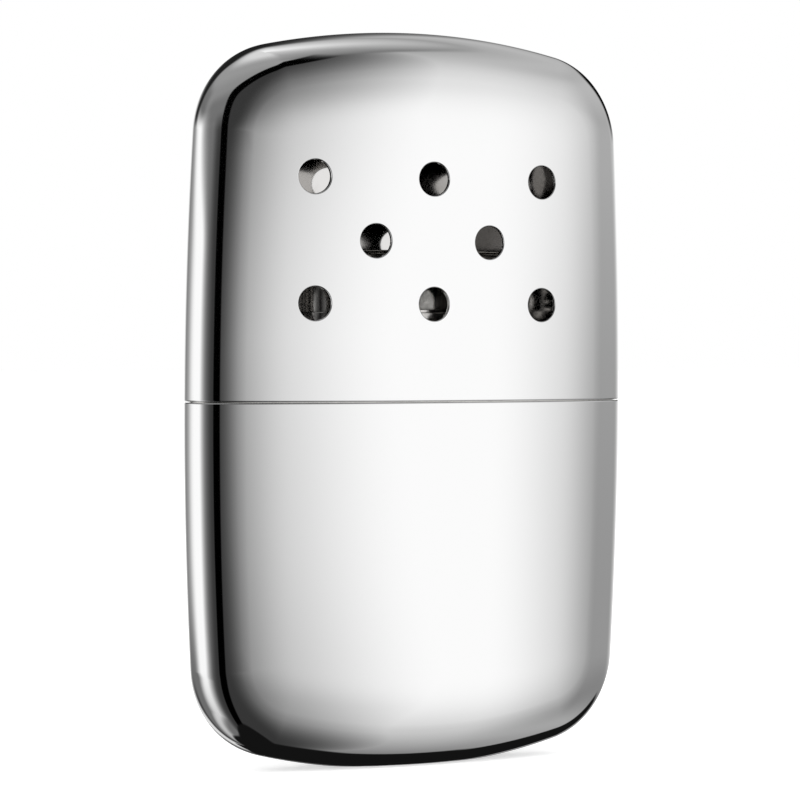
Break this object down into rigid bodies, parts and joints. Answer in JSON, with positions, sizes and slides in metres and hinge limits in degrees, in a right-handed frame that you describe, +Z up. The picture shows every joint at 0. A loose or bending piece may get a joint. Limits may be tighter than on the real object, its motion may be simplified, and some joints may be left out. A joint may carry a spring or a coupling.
{
  "type": "catalytic hand warmer",
  "caption": "Slim pillow-shaped pocket hand warmer: a chromed fuel tank with a filler neck, a push-on catalytic burner and a lift-off lid with round vents.",
  "frame": {"origin": "centre of the flat foot under the tank, on the surface the warmer stands on", "axes": "+Z up, the vented front face towards -Y, the case's width along X"},
  "size_m": [0.066, 0.015, 0.0993],
  "materials": {
    "case_chrome": "mirror-bright chrome plate over drawn sheet metal",
    "plated_steel": "satin nickel plate",
    "burner_steel": "drawn stainless sheet, slightly heat tinted",
    "wire_gauze": "woven stainless wire",
    "catalyst_fibre": "grey glass-fibre mat carrying the catalyst",
    "cotton": "packed absorbent cotton"
  },
  "bodies": {
    "tank": {"tank_shell": "case_chrome", "neck_plate": "plated_steel", "filler_neck": "plated_steel", "wadding_back": "cotton", "wadding_core": "cotton", "wadding_front": "cotton"},
    "burner": {"burner_skirt": "burner_steel", "burner_housing": "burner_steel", "upper_gauze": "wire_gauze", "catalyst_mat": "catalyst_fibre", "lower_gauze": "wire_gauze", "gauze_ring": "burner_steel"},
    "lid": {"vent_lid": "case_chrome"}
  },
  "joints": [
    {"name": "burner_lift", "type": "slide", "parent": "tank", "child": "burner", "axis": [0, 0, 1], "range_m": [0, 0.02]},
    {"name": "lid_lift", "type": "slide", "parent": "burner", "child": "lid", "axis": [0, 0, 1], "range_m": [0, 0.05]}
  ]
}
